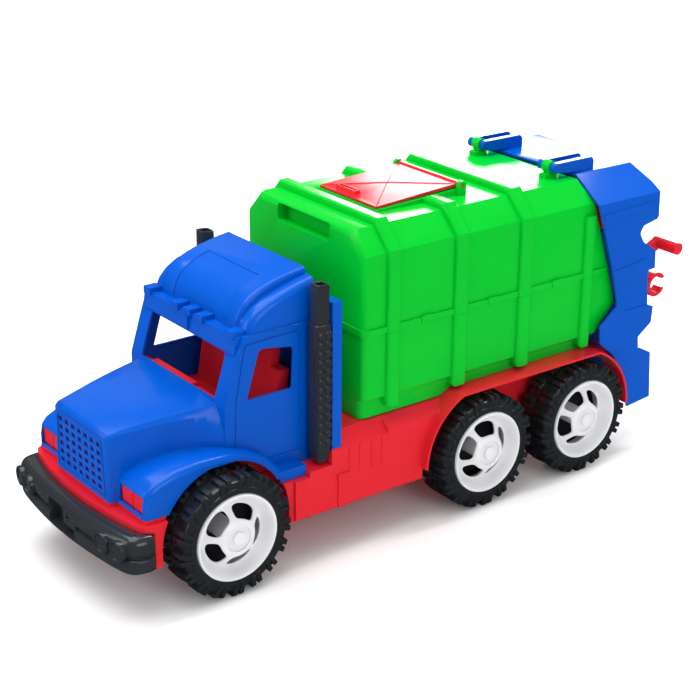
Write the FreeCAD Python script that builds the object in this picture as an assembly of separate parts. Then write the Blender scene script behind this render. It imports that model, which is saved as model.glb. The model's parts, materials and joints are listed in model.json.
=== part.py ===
import FreeCAD, Part
import math
import os

# Floor toy of a refuse truck, millimetres.  +X is the truck's left side,
# -Y its front, +Z up.  Every sub-part is modelled in place and exported
# on its own as parts/NODE.step.

V = FreeCAD.Vector
AXIS_X = V(1, 0, 0)
AXIS_Y = V(0, 1, 0)
AXIS_Z = V(0, 0, 1)

# Driving dimensions
wall = 2.5
gap = 0.3
pin_play = 0.06

# Wheels
tyre_r = 62.5
lug_depth = 5.0
tyre_base_r = tyre_r - lug_depth
tyre_in = 82.0
tyre_width = 42.0
tyre_out = tyre_in + tyre_width
lug_width = 17.0
lug_count = 17
lug_span = 12.0
lug_rows = [(tyre_in, tyre_in + lug_width), (tyre_out - lug_width, tyre_out)]
barrel_r = 40.0
barrel_in = tyre_in + 18.0
bead_step = 4.2
rim_r = barrel_r + bead_step
seat_depth = 5.0
flange_proud = 1.7
rim_out = tyre_out + flange_proud
bowl_depth = 11.7
boss_proud = 3.0
boss_out = tyre_out + boss_proud
hub_r = 10.5
wheel_sides = 15
axle_r = 3.0
axle_z = tyre_r
wheel_y = {"front": -239.5, "mid": 72.5, "rear": 212.6}
window_count = 5
window_phase = 137.0

# Chassis
well_r = tyre_r + 14.0
front_well_r = tyre_r + 8.5
rear_well_y = wheel_y["rear"] - 7.6
well_in = tyre_in - 10.0
deck_z = 127.5
deck_half = 97.0
skirt_x = 110.0
skirt_z0 = 50.0
skirt_front_z = 112.0
skirt_rear_z = 118.0
skirt_step_y = -50.4
skirt_ribs = (-98.0, -85.5, -70.5, -58.0)
pan_front = -163.0
pan_back = 262.0
nose_half = 107.0
nose_z0 = 48.0
ledge_z = 93.0
fender_top = 135.0
fender_x = tyre_out - 4.7
boss_half = 8.0

# Bumper
bumper_z0 = 50.0
bumper_z1 = 87.0
bumper_lip = 3.5

# Cab
cab_half = 86.0
cab_back = -121.0
cab_low = 92.0
cab_foot = 97.0
sill_z = 243.5
crown_half = 68.0
nose_y = -334.0
wing_y = -326.0
wing_half = 103.0
arch_r = tyre_r + 7.0
arch_top = 130.5

# Stacks
stack_in = cab_half + 6.5
stack_out = stack_in + 14.5
stack_front = -134.6
stack_back = -119.6
stud_rows = 13
stud_pitch = 9.3

# Body, hatch and tailgate
body_front = -75.0
body_panel_x = 101.0
body_rib_x = 106.0
body_foot_x = 94.7
seam_z = 218.0
roof_z = 322.0
shoulder_z = 299.5
roof_half = 79.5
rib_rise = 7.0
rib_rows = [(-48.5, 16.0), (37.0, 18.0), (124.5, 18.0), (217.0, 15.0)]
lid_y = 86.0
lid_rise = 10.0
lid_z = roof_z + lid_rise
lid_pin_r = 2.0
hinge_y = 204.5
hinge_rise = 12.0
hinge_z = roof_z + hinge_rise
hinge_x = 56.0
hinge_pin_r = 3.0
gate_x = 112.0
shaft_y = 311.0
shaft_z = 220.0
shaft_r = 4.0
knob_y = 342.0
knob_z = 233.0
clip_y = 354.0
clip_z = 178.0
clip_r = 9.5
centre_shift = -4.0


def box(x0, x1, y0, y1, z0, z1):
    return Part.makeBox(x1 - x0, y1 - y0, z1 - z0, V(x0, y0, z0))


def poly_face(points):
    return Part.Face(Part.makePolygon(points + [points[0]]))


def contour(corners, place):
    """Closed wire of straight runs, with an arc where a corner has a third value, its radius."""
    spots = [V(c[0], c[1], 0) for c in corners]
    turns = []
    for k, corner in enumerate(corners):
        here = spots[k]
        if len(corner) == 2:
            turns.append((here, None, here))
            continue
        back = (spots[k - 1] - here).normalize()
        ahead = (spots[(k + 1) % len(spots)] - here).normalize()
        half = back.getAngle(ahead) / 2
        run = corner[2] / math.tan(half)
        crest = here + (back + ahead).normalize() * (corner[2] / math.sin(half) - corner[2])
        turns.append((here + back * run, crest, here + ahead * run))
    edges = []
    for k, (start, crest, end) in enumerate(turns):
        last = turns[k - 1][2]
        if (start - last).Length > 1e-6:
            edges.append(Part.makeLine(place(last.x, last.y), place(start.x, start.y)))
        if crest:
            arc = Part.Arc(place(start.x, start.y), place(crest.x, crest.y), place(end.x, end.y))
            edges.append(arc.toShape())
    return Part.Wire(edges)


def prism_x(outline, x0, x1):
    """Outline of (y, z) corners pushed from x0 to x1."""
    return Part.Face(contour(outline, lambda y, z: V(x0, y, z))).extrude(V(x1 - x0, 0, 0))


def prism_y(outline, y0, y1):
    """Outline of (x, z) corners pushed from y0 to y1."""
    return Part.Face(contour(outline, lambda x, z: V(x, y0, z))).extrude(V(0, y1 - y0, 0))


def prism_z(outline, z0, z1):
    """Outline of (x, y) corners pushed from z0 to z1."""
    return Part.Face(contour(outline, lambda x, y: V(x, y, z0))).extrude(V(0, 0, z1 - z0))


def inward(line, d):
    """Open line of points moved by d towards its right-hand side."""
    moved = []
    for k, (a, b) in enumerate(line):
        a0, b0 = line[max(k - 1, 0)]
        a1, b1 = line[min(k + 1, len(line) - 1)]
        run = math.hypot(a1 - a0, b1 - b0)
        moved.append((a + d * (b1 - b0) / run, b - d * (a1 - a0) / run))
    return moved


def stacked(sections, place):
    """Ruled loft through (level, corners) sections with like numbers of corners."""
    wires = [contour(corners, lambda a, b, level=level: place(a, b, level)) for level, corners in sections]
    return Part.makeLoft(wires, True, True)


def soft_ends(half, shrink, r):
    """(x, inset) levels from -half to half, with an edge of radius r rolled over in three facets."""
    steps = [(0.0, 1.0), (0.134, 0.5), (0.5, 0.134), (1.0, 0.0)]
    left = [(shrink - half + across * r, shrink + down * r) for across, down in steps]
    return left + [(-x, inset) for x, inset in reversed(left)]


def bulge(line, corners, levels):
    """Ruled loft along X through (x, inset) levels of the area under a line of (y, z) points."""
    return stacked([(x, inward(line, inset) + corners) for x, inset in levels], lambda y, z, x: V(x, y, z))


def pyramid(base, apex):
    """Low peak over a closed flat base."""
    sides = [poly_face([base[k - 1], base[k], apex]) for k in range(len(base))]
    solid = Part.Solid(Part.Shell(sides + [poly_face(base)]))
    if solid.Volume < 0:
        solid.reverse()
    return solid


def cyl_x(r, x0, x1, y, z):
    return Part.makeCylinder(r, x1 - x0, V(x0, y, z), AXIS_X)


def cyl_y(r, y0, y1, x, z):
    return Part.makeCylinder(r, y1 - y0, V(x, y0, z), AXIS_Y)


def polygon(r, a, b, sides=12):
    """Corners of a regular polygon whose flats lie at radius r about (a, b)."""
    reach = r / math.cos(math.pi / sides)
    turns = [2 * math.pi * (k + 0.5) / sides for k in range(sides)]
    return [(a + reach * math.cos(t), b + reach * math.sin(t)) for t in turns]


def mirrored(shape):
    return shape.mirror(V(0, 0, 0), AXIS_X)


def both(shape):
    return [shape, mirrored(shape)]


def join(shapes):
    first = shapes[0]
    if len(shapes) == 1:
        return first
    return first.multiFuse(shapes[1:]).removeSplitter()


def cut(shape, tools):
    for tool in tools:
        shape = shape.cut(tool)
    return shape


def symmetric(half):
    """Right-hand corners, each starting with its x, closed by their mirror images."""
    return half + [(-corner[0],) + corner[1:] for corner in reversed(half)]


def faceted_ring(profile, sides):
    """Turn closed (x, radius) points about the X axis in flat facets, an edge at +Y."""
    rings = []
    for k in range(sides):
        t = 2 * math.pi * k / sides
        rings.append([V(x, r * math.cos(t), r * math.sin(t)) for x, r in profile])
    faces = []
    for k in range(sides):
        here, there = rings[k - 1], rings[k]
        for i in range(len(profile)):
            faces.append(poly_face([here[i - 1], here[i], there[i], there[i - 1]]))
    solid = Part.Solid(Part.Shell(faces))
    if solid.Volume < 0:
        solid.reverse()
    return solid


def half_round(y, z, r, start, steps=5):
    """Points of half a circle about (y, z) from the start angle on."""
    turns = [start + math.pi * k / steps for k in range(steps + 1)]
    return [(y + r * math.cos(t), z + r * math.sin(t)) for t in turns]


def hull_bar(x0, x1, ends, r):
    """Flat link from x0 to x1 with round ends of radius r at the (y, z) pair."""
    (ya, za), (yb, zb) = ends
    heading = math.atan2(zb - za, yb - ya)
    outline = half_round(ya, za, r, heading + math.pi / 2) + half_round(yb, zb, r, heading - math.pi / 2)
    return prism_x(outline, x0, x1)


# Chassis: one open-bottomed moulding with wheel wells and side skirts
def wheel_well(clear, x0, top):
    """Space round the wheels outboard of x0, the pair behind joined and flat on top."""
    x1 = skirt_x + 40
    r = well_r + clear
    front_r = front_well_r + clear
    rear = [cyl_x(r, x0, x1, wheel_y["mid"], axle_z), cyl_x(r, x0, x1, rear_well_y, axle_z)]
    rear.append(box(x0, x1, wheel_y["mid"], rear_well_y, axle_z, axle_z + r))
    rear.append(box(x0, x1, wheel_y["mid"] - r, rear_well_y + r, -10, axle_z))
    wells = [cyl_x(front_r, x0, x1, wheel_y["front"], axle_z)]
    wells.append(join(rear).common(box(x0, x1, -500, 500, -20, top)))
    wells.append(box(x0, x1, wheel_y["front"] - front_r, wheel_y["front"] + front_r, -10, axle_z))
    return join(wells)


def skirt_section(shrink, top):
    """Half outline of the pan, moved in by shrink."""
    low = skirt_z0 - (1 if shrink else 0)
    knee = (skirt_x - shrink, top - shrink / 2)
    return symmetric([(skirt_x - shrink, low), knee, (deck_half - shrink / 2, deck_z - shrink)])


def make_pan():
    """Long tray with its skirts, cut down in front where the cab stands in it."""
    front = prism_y(skirt_section(0, skirt_front_z), pan_front, skirt_step_y)
    back = prism_y(skirt_section(0, skirt_rear_z), skirt_step_y, pan_back)
    inside = prism_y(skirt_section(wall, skirt_front_z), pan_front + wall, pan_back - wall)
    low_front = box(-200, 200, -170.0, -146.0, cab_low, 130.0)
    ledge_front = box(-200, 200, -146.5, cab_back + 1.5, 98.0, 130.0)
    cab_room = box(-cab_half - gap, cab_half + gap, -170.0, cab_back + 1.5, cab_low, 130.0)
    pan = cut(join([front, back]), [low_front, ledge_front, cab_room])
    low_inside = box(-200, 200, -170.0, -143.5, cab_low - wall, 130.0)
    ledge_inside = box(-200, 200, -150.0, cab_back + 4.0, 98.0 - wall, 130.0)
    cab_side = cab_half + gap + wall
    cab_inside = box(-cab_side, cab_side, -170.0, cab_back + 4.0, cab_low - wall, 130.0)
    return pan, cut(inside, [low_inside, ledge_inside, cab_inside])


def make_nose():
    """Front end: side posts, a low front wall, the ledge over the bumper and an upstand under the cab."""
    low = [(nose_half, -160.0), (nose_half, -318.0), (98.0, -323.5), (52.0, -331.0)]
    ledge = [(nose_half, -160.0), (nose_half, -322.0), (103.5, -328.0)]
    ledge += [(96.0, -331.5), (60.0, -338.0), (20.0, -341.5)]
    upstand_x = wing_half - 1.0
    upstand = [(upstand_x, -180.0), (upstand_x, wing_y + 1.0), (52.5, wing_y + 1.0), (50.0, nose_y + 1.0)]
    room = [(99.0, -163.0), (99.0, -319.5), (49.0, -322.0), (47.0, -330.5)]
    layers = [prism_z(symmetric(low), nose_z0, ledge_z)]
    layers.append(prism_z(symmetric(ledge), ledge_z - 7.0, ledge_z))
    layers.append(prism_z(symmetric(upstand), ledge_z - 1.0, cab_foot))
    under_x = nose_half - wall
    under = [(under_x, -163.0), (under_x, -316.8), (97.0, -321.0), (51.5, -328.5)]
    nose = join(layers).cut(prism_z(symmetric(under), nose_z0 - 1, ledge_z - wall))
    nose = nose.cut(prism_z(symmetric(room), nose_z0, cab_foot + 1))
    nose = nose.cut(box(-200, 200, -180.0, -146.0, cab_low, 100.0))
    return join([nose] + both(box(well_in, well_in + wall, -326.0, -150.0, nose_z0, cab_low)))


def make_chassis():
    pan, hollow = make_pan()
    outer_wells = both(wheel_well(0, well_in + wall, fender_top - wall))
    for big in both(wheel_well(wall, well_in, fender_top)):
        hollow = hollow.cut(big)
    strip_x = deck_half - 2
    strip = wheel_well(wall, strip_x, fender_top)
    strip = strip.common(box(strip_x, fender_x, -12, 300, axle_z, fender_top))
    shell = join([pan.cut(hollow), make_nose()] + both(strip))
    shell = cut(shell, outer_wells)
    post_room = box(87.7, skirt_x - 1.7, -120.0, -106.7, 111.7, 130.0)
    shell = cut(shell, both(post_room))
    ribs = []
    for y in skirt_ribs:
        ribs += both(box(skirt_x - 1.0, skirt_x + 0.8, y - 0.8, y + 0.8, 82.0, skirt_front_z - 1.0))
    ribs += both(box(skirt_x - 1.0, skirt_x + 1.6, -112.5, -100.0, skirt_z0, 83.0))
    ribs += both(box(skirt_x - 1.0, skirt_x + 2.4, -113.5, -99.0, 82.5, 86.0))
    bosses = []
    for y in wheel_y.values():
        front, back = y - boss_half, y + boss_half
        boss = [(front, 92.0), (front, 56.0), (y - 4.0, 53.0), (y + 4.0, 53.0), (back, 56.0), (back, 92.0)]
        bosses += both(prism_x(boss, 62.0, well_in + wall))
    shell = join([shell] + ribs + bosses)
    slot = axle_r + pin_play
    for y in wheel_y.values():
        shell = shell.cut(box(-130, 130, y - slot, y + slot, axle_z - slot, axle_z + slot))
    return shell


# Bumper: bowed channel with a groove, a tow pocket and four lamp discs
bumper_line = [(114.0, -321.5), (114.0, -332.0), (109.5, -342.0)]
bumper_line += [(98.0, -350.0), (60.0, -355.5), (20.0, -358.5)]
bumper_back = [(108.0, -321.5), (107.6, -326.0), (104.0, -329.0)]
bumper_back += [(96.5, -332.3), (60.0, -338.6), (20.0, -342.1)]
bumper_lamps = ((72.0, -353.8), (95.5, -350.4))
lamp_turn = 8.2
lamp_r = 10.5
lamp_proud = 3.0


def make_bumper():
    def level(inset):
        return symmetric(inward(bumper_line, inset))

    def place(x, y, z):
        return V(x, y, z)

    levels = [(bumper_z0, level(0)), (bumper_z1 - bumper_lip, level(0))]
    levels += [(bumper_z1 - 1.0, level(1.2)), (bumper_z1, level(bumper_lip))]
    bar = stacked(levels, place)
    bar = bar.cut(prism_z(symmetric(bumper_back), bumper_z0 - 1, bumper_z1 + 1))
    channel = prism_z(level(wall), bumper_z0 + wall, bumper_z1 - wall - 1.0)
    bar = bar.cut(channel.common(box(-107.5, 107.5, -400, -300, 0, 200)))
    groove = prism_z(level(-1), 66.0, 70.0).cut(prism_z(level(1.5), 65.0, 71.0))
    bar = bar.cut(groove)
    pocket = box(-25.0, 25.0, -362.0, -347.5, bumper_z0 - 1, 81.0)
    housing = box(-27.5, 27.5, -354.0, -345.0, bumper_z0, 83.5)
    tab = prism_y([(2.0, 63.0, 2.0), (26.0, 63.0), (26.0, 82.0), (2.0, 82.0)], -357.0, -354.0)
    eye = cyl_y(2.6, -358.0, -353.0, 10.0, 72.0)
    bar = join([join([bar, housing]).cut(pocket), tab]).cut(eye)
    lamps = []
    for x, y in bumper_lamps:
        disc = prism_y(polygon(lamp_r, x, 72.5), y - lamp_proud, y + 6.0)
        disc.rotate(V(x, y, 72.5), AXIS_Z, lamp_turn)
        lamps += both(disc)
    feet = both(box(30.0, 44.0, -355.0, -331.0, 60.0, 80.0))
    return join([bar] + lamps + feet)


# Cab: hollow blue moulding with bonnet, wings, windows and roof fairing
roof_line = [(-200.0, 236.0), (-199.5, 250.0), (-197.0, 258.5), (-192.0, 266.5), (-184.0, 273.5)]
roof_line += [(-173.0, 279.0), (-158.0, 284.0), (-140.0, 288.0), (-121.0, 291.0), (-115.0, 292.0)]
side_line = [(-201.0, 232.0), (-200.0, 244.0), (-195.5, 254.0), (-187.0, 263.0), (-175.0, 270.0)]
side_line += [(-157.0, 276.0), (-139.0, 281.0), (-121.0, 285.0), (-115.0, 286.5)]
wing_line = [(wing_y, 80.0), (wing_y + 0.2, 110.0), (-324.0, 120.5), (-318.5, 127.0)]
wing_line += [(-309.0, 131.5), (-291.0, 136.6), (-264.0, 139.6), (-237.0, 139.0)]
wing_line += [(-214.0, 135.5), (-190.0, 123.5), (-172.0, 104.0), (-158.0, 80.0)]


def cab_block(i):
    """Cab body with every outer face moved in by i."""
    back = cab_back - i
    side_view = [(-226.5 + i, cab_low - i), (-226.5 + i, 179.0), (-211.0 + i, 228.0)]
    side_view += [(-204.0 + i, sill_z - i), (back, sill_z - i), (back, cab_low - i)]
    lower = prism_x(side_view, i - cab_half, cab_half - i)
    posts = [e for e in lower.Edges if e.BoundBox.ZLength > 100 and e.BoundBox.YMin > back - 1]
    lower = lower.makeFillet(5.0, posts)
    shoulder = bulge(side_line, [(-116.0, 228.0), (-199.0 + i, 228.0)], soft_ends(cab_half - 2.0, i, 8.0 - i))
    crown = bulge(roof_line, [(-116.0, 232.0), (-197.0 + i, 232.0)], soft_ends(crown_half, i, 4.0 - i / 2))
    if i == 0:
        recess = inward(roof_line[:7], 0.8) + [(-159.0, 300.0), (-220.0, 300.0), (-220.0, 236.0)]
        crown = crown.cut(prism_x(recess, -45.0, 45.0))
    return join([lower, shoulder, crown]).common(box(-200, 200, -400, back, 0, 400))


def bonnet_section(share, shrink):
    """Bonnet outline, share from 0 at the grille to 1 at the windscreen."""
    rise = 2.0 * math.sin(math.pi * share)
    flare = 10.0 * (max(0.0, share - 0.5) / 0.5) ** 2
    half = [(51.5 + 24.5 * share + flare, cab_low - shrink), (50.1 + 24.5 * share + flare, 146.0 + 6.0 * share)]
    half.append((49.5 + 24.5 * share + flare / 5, 162.0 + 8.0 * share + rise))
    half.append((46.0 + 24.0 * share + flare / 8, 165.0 + 11.5 * share + rise))
    half.append((23.0 + 12.0 * share, 166.8 + 13.2 * share + rise))
    return symmetric([(x - shrink, z - (shrink if z > 100 else 0)) for x, z in half])


def bonnet_block(i):
    """Bonnet as a ruled loft, rounded over at the grille, with a crease below its top edge."""
    def place(x, z, y):
        return V(x, y, z)

    front = nose_y + i
    levels = [(front, bonnet_section(0, i + 1.0))]
    if i == 0:
        levels = [(front, bonnet_section(0, 3.0)), (front + 1.0, bonnet_section(0.01, 1.2))]
        levels.append((front + 4.0, bonnet_section(0.04, 0)))
    for share in (0.45, 0.65, 0.8, 0.9):
        levels.append((nose_y + 108.0 * share, bonnet_section(share, i)))
    levels.append((-226.0 + i, bonnet_section(1, i)))
    return stacked(levels, place)


def wing_block(i):
    """Flared wing over one front wheel, its outer edge rounded."""
    outer_levels = soft_ends(wing_half, i, 6.0 - i)[4:]
    wing = bulge(wing_line, [], [(40.0, i)] + outer_levels)
    step = box(40.0, wing_half - i, -180.0, -146.0 - i, cab_low - i, 104.0 - i)
    return join([wing, step]).common(box(0, 200, -400, 0, cab_low - i, 200))


def grille_frame():
    """Raised rounded frame round the field of holes."""
    outside = symmetric([(46.5, 101.0), (42.5, 160.5, 7.0)])
    inside = symmetric([(44.6, 103.0), (40.8, 158.6, 5.5)])
    return prism_y(outside, nose_y - 0.9, nose_y + 1.0).cut(prism_y(inside, nose_y - 1.0, nose_y + 1.1))


def door_line(side):
    """Thin groove round one door."""
    edge = [(-216.1, 132.5), (-215.0, 180.0), (-203.4, 236.5, 5.0), (-140.5, 238.0, 5.0)]
    inner = [(-215.0, 132.5), (-213.9, 180.0), (-202.4, 235.4, 4.0), (-141.6, 236.9, 4.0)]
    edge += [(-140.5, 113.0), (-190.0, 113.0)]
    inner += [(-141.6, 114.0), (-190.0, 114.0)]
    near, far = sorted((side * (cab_half - 0.7), side * (cab_half + 5.0)))
    return prism_x(edge, near, far).cut(prism_x(inner, near - 1, far + 1))


def make_cab():
    outer = join([cab_block(0), bonnet_block(0)] + both(wing_block(0)))
    inner = join([cab_block(wall), bonnet_block(wall)] + both(wing_block(wall)))
    shell = outer.cut(inner)
    shell = shell.cut(box(-120, 120, -400, -176.0, 0, cab_foot))
    shell = shell.cut(box(-120, 120, -176.0, 0, 0, cab_low + 0.5))
    # front wheel arches
    arch = cyl_x(arch_r, 76.0, 130.0, wheel_y["front"], axle_z)
    arch = arch.common(box(70, 140, -400, 0, 0, arch_top))
    shell = cut(shell, both(arch))
    # door lines, door windows and windscreen
    shell = cut(shell, [door_line(1), door_line(-1)])
    window = [(-202.0, 179.5, 2.0), (-187.0, 228.5, 6.0), (-148.0, 222.0, 5.0), (-150.0, 179.5, 2.0)]
    shell = shell.cut(prism_x(window, -100, 100))
    screen = [(-67.0, 180.5, 2.0), (-67.0, 225.0, 4.0), (67.0, 225.0, 4.0), (67.0, 180.5, 2.0)]
    shell = shell.cut(prism_y(screen, -228.0, -196.0))
    # grille holes, seven across and six down
    for column in range(7):
        for row in range(6):
            x = (column - 3) * 12.2
            z = 109.0 + row * 8.6
            shell = shell.cut(box(x - 3.6, x + 3.6, -340, -328, z - 2.3, z + 2.3))
    # lamp openings
    shell = cut(shell, both(box(57.0, 98.0, -340, -318, 101.0, 118.5)))
    # sun visor with its lugs and middle bar
    visor = prism_x([(-205.0, 227.0), (-213.0, 227.0), (-210.5, 243.5), (-199.0, 243.5)], -82.0, 82.0)
    lugs = [box(x - 6, x + 6, -213.0, -199.0, 241.0, 248.5) for x in (-74, -22, 0, 22, 74)]
    lugs.append(box(-3.5, 3.5, -214.5, -208.0, 228.0, 242.0))
    # uprights behind the stacks
    uprights = both(box(cab_half - 14.0, cab_half + 4.0, cab_back - 1.0, -107.0, 128.0, 265.5))
    uprights += both(box(cab_half + 2.0, skirt_x - 2.0, stack_back + 1.7, -107.0, 112.0, 265.5))
    return join([shell, visor, grille_frame()] + lugs + uprights)


def make_lamp_panel():
    """Red insert behind the grille with both lamp pairs."""
    plate_y = nose_y + wall + gap
    plate = prism_y(symmetric([(46.0, cab_foot + 1.0), (41.0, 159.0)]), plate_y, plate_y + 2.0)
    lamps = []
    for x0, x1 in ((58.0, 77.0), (78.2, 97.2)):
        lamps += both(box(x0, x1, wing_y + 3.2, -320.0, 101.5, 118.0))
    bridge = both(box(42.0, 97.2, -321.2, -318.8, 98.0, 119.0))
    ties = both(box(42.0, 45.0, -330.0, -319.0, 98.0, 120.0))
    return join([plate] + lamps + bridge + ties)


def make_seats():
    """Bench with two backs and head rests, and a dash tray on cheeks in front of it."""
    seat_half = cab_half - 8.0
    base = box(-seat_half, seat_half, -196.0, -130.0, cab_foot + gap, 140.0)
    base = base.cut(box(2.5 - seat_half, seat_half - 2.5, -193.5, -132.5, 90.0, 137.5))
    backs = []
    for x in (-38.0, 38.0):
        back = [(-161.0, 138.0), (-146.0, 138.0), (-140.5, 191.0), (-152.0, 191.0)]
        head = [(-153.0, 186.0), (-141.5, 186.0), (-140.0, 210.0), (-149.0, 210.0), (-152.0, 206.0)]
        backs += [prism_x(back, x - 30.0, x + 30.0), prism_x(head, x - 14.0, x + 14.0)]
    tray = box(-80.0, 80.0, -223.5, -212.0, 171.0, 173.5)
    raised = box(-58.0, 17.0, -223.5, -212.5, 173.0, 177.5)
    cheek = prism_x([(-223.5, 173.0), (-212.0, 173.0), (-194.0, 138.0), (-194.0, 120.0), (-223.5, 160.0)], 75.5, 78.0)
    return join([base, tray, raised] + backs + both(cheek))


def make_stack(side):
    """Squarish exhaust with a slanted mouth, a rounded foot and a guard with rows of studs."""
    def square(grow, trim):
        x0, x1 = stack_in - grow, stack_out + grow
        y0, y1 = stack_front - grow, stack_back + grow
        return [(x0 + trim, y0), (x1 - trim, y0), (x1, y0 + trim), (x1, y1 - trim),
                (x1 - trim, y1), (x0 + trim, y1), (x0, y1 - trim), (x0, y0 + trim)]

    def place(x, y, z):
        return V(x, y, z)

    levels = [(100.5, square(-4.0, 2.0)), (103.0, square(-1.5, 2.5))]
    levels += [(108.0, square(0, 2.5)), (288.0, square(0, 2.5))]
    tube = stacked(levels, place)
    tube = tube.cut(prism_x([(-145.0, 286.2), (-110.0, 283.2), (-110.0, 300.0), (-145.0, 300.0)], 60.0, 120.0))
    bore = prism_z(square(-wall, 1.5), 245.0, 300.0)
    guard = prism_z(square(1.4, 2.5), 112.0, 245.5)
    studs = []
    face = stack_out + 1.4
    for row in range(stud_rows):
        z = 123.0 + row * stud_pitch
        for y in (-131.2, -123.0):
            rim = [V(face - 0.2, a, b) for a, b in polygon(3.0, y, z, 5)]
            studs.append(pyramid(rim, V(face + 1.6, y, z)))
    shape = join([tube.cut(bore), guard.cut(bore)] + studs)
    return shape if side > 0 else mirrored(shape)


# Body: two green halves that meet at the seam, ribs running over the roof
rear_edge = [(220.0, 340.0), (225.0, 317.0), (272.0, 179.0), (248.0, 156.0), (239.0, 140.0)]


def panel_section(inset):
    """Half outline of the body's panels, moved in by inset."""
    half = [(body_foot_x, deck_z + gap), (body_foot_x, 146.0), (body_panel_x, 150.0)]
    half += [(body_panel_x, shoulder_z), (roof_half, roof_z)]
    return symmetric([(x - inset, z - (inset if z > 200 else 0)) for x, z in half])


def rib_section(inset):
    """Half outline of one rib, moved in by inset."""
    half = [(body_rib_x, 139.0), (body_rib_x, shoulder_z + 2.5), (roof_half + 2.5, roof_z + rib_rise)]
    return symmetric([(x - inset, z + (inset if z < 200 else -inset)) for x, z in half])


def body_outer():
    """Panels with a rounded front end, and the raised ribs."""
    def place(x, z, y):
        return V(x, y, z)

    side_view = [(body_front, 100.0), (body_front, 345.0)] + rear_edge + [(239.0, 100.0)]
    trim = prism_x(side_view, -150, 150)
    levels = [(body_front, 7.0), (body_front + 1.2, 3.6), (body_front + 3.8, 1.3)]
    levels += [(body_front + 9.0, 0.0), (300.0, 0.0)]
    panel = stacked([(y, panel_section(inset)) for y, inset in levels], place)
    ribs = []
    for y, w in rib_rows:
        levels = [(y, 3.2), (y + 0.9, 1.2), (y + 3.2, 0.0), (y + w - 3.2, 0.0), (y + w - 0.9, 1.2), (y + w, 3.2)]
        rib = stacked([(at, rib_section(inset)) for at, inset in levels], place)
        ribs.append(rib if y < 200 else rib.common(box(-200, 200, 0, 400, 0, 287.0)))
    return join([panel] + ribs).common(trim)


def body_inner():
    """Load space, its front end rounded like the outside."""
    def place(x, z, y):
        return V(x, y, z)

    half = [(body_foot_x - wall, deck_z), (body_foot_x - wall, 147.0), (body_panel_x - wall, 151.0)]
    half += [(body_panel_x - wall, shoulder_z - 1.0), (roof_half - 1.0, roof_z - wall)]
    sections = []
    for y, inset in ((body_front + wall, 4.5), (body_front + 5.5, 1.2), (body_front + 9.0, 0.0), (300.0, 0.0)):
        sections.append((y, symmetric([(x - inset, z - (inset if z > 200 else 0)) for x, z in half])))
    return stacked(sections, place).common(box(-150, 150, -200, 300, deck_z + gap + wall, 345.0))


def seam_bead():
    """Bead round the joint of the halves, with a latch in the middle of each bay."""
    out, inn = body_panel_x + 2.0, body_panel_x - 1.0
    plan = [(body_panel_x, 252.0), (body_panel_x, body_front + 9.0), (body_panel_x - 1.3, body_front + 3.8)]
    plan += [(body_panel_x - 3.6, body_front + 1.2), (body_panel_x - 7.0, body_front)]
    inside = inward(plan, 1.0)
    inside[0] = (inn, 253.0)
    bead = prism_z(symmetric(inward(plan, -2.0)), seam_z, seam_z + 6.5)
    bead = bead.cut(prism_z(symmetric(inside), seam_z - 1, seam_z + 8.0))
    latches = []
    for (y0, w), (y1, _) in zip(rib_rows, rib_rows[1:]):
        middle = (y0 + w + y1) / 2
        latches += both(box(inn, out + 1.0, middle - 7.0, middle + 7.0, seam_z, seam_z + 7.5))
    return join([bead] + latches)


def hinge_stand():
    """Block, neck and barrel that hold one tailgate pin."""
    block = box(hinge_x - 5.4, hinge_x + 5.4, hinge_y - 9.0, hinge_y + 7.0, roof_z - 1.0, roof_z + 4.5)
    neck = box(hinge_x - 4.5, hinge_x + 4.5, hinge_y - 4.0, hinge_y + 4.0, roof_z, hinge_z)
    barrel = prism_x(polygon(6.2, hinge_y, hinge_z, 10), hinge_x - 5.4, hinge_x + 5.4)
    pin = cyl_x(hinge_pin_r, hinge_x - 10.5, hinge_x + 10.5, hinge_y, hinge_z)
    return join([block, neck, barrel, pin])


def make_body():
    solid = body_outer()
    slot = [(-44.0, 300.5, 3.0), (44.0, 300.5, 3.0), (44.0, 318.5, 3.0), (-44.0, 318.5, 3.0)]
    handle = prism_y(slot, body_front - 5, body_front + 12)
    handle_frame = box(-47.0, 47.0, body_front, body_front + 14.0, 297.5, 321.5)
    shell = solid.cut(body_inner().cut(handle_frame)).cut(handle)
    # hatch coaming
    ceiling = roof_z - wall
    coaming = [(-22.0, ceiling), (-22.0, lid_z - 8.0), (lid_y, lid_z - 3.5), (lid_y, ceiling)]
    coaming = prism_x(coaming, -50.0, 50.0)
    opening = box(-44.0, 44.0, -16.0, 76.0, 300.0, 345.0)
    shell = join([shell, seam_bead(), coaming]).cut(opening)
    room_top = lid_z + 13.0
    hatch_room = [(-24.0, lid_z - 8.0), (-24.0, room_top), (98.0, room_top), (98.0, lid_z - 3.0)]
    hatch_room = prism_x(hatch_room, -52.0, 52.0)
    shell = shell.cut(hatch_room)
    # hinge lugs of the hatch, and the stands of the tailgate's pins
    lug = hull_bar(49.0, 54.0, ((lid_y, roof_z), (lid_y, lid_z)), 5.0)
    lug = lug.cut(cyl_x(lid_pin_r + pin_play, 48.0, 55.0, lid_y, lid_z))
    shell = join([shell] + both(lug) + both(hinge_stand()))
    shell = shell.cut(body_inner().common(box(-150, 150, 180.0, 300.0, 100, 400)))
    half_low = shell.common(box(-200, 200, -200, 400, 100, seam_z))
    half_up = shell.common(box(-200, 200, -200, 400, seam_z, 400))
    return half_low, half_up


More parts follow.
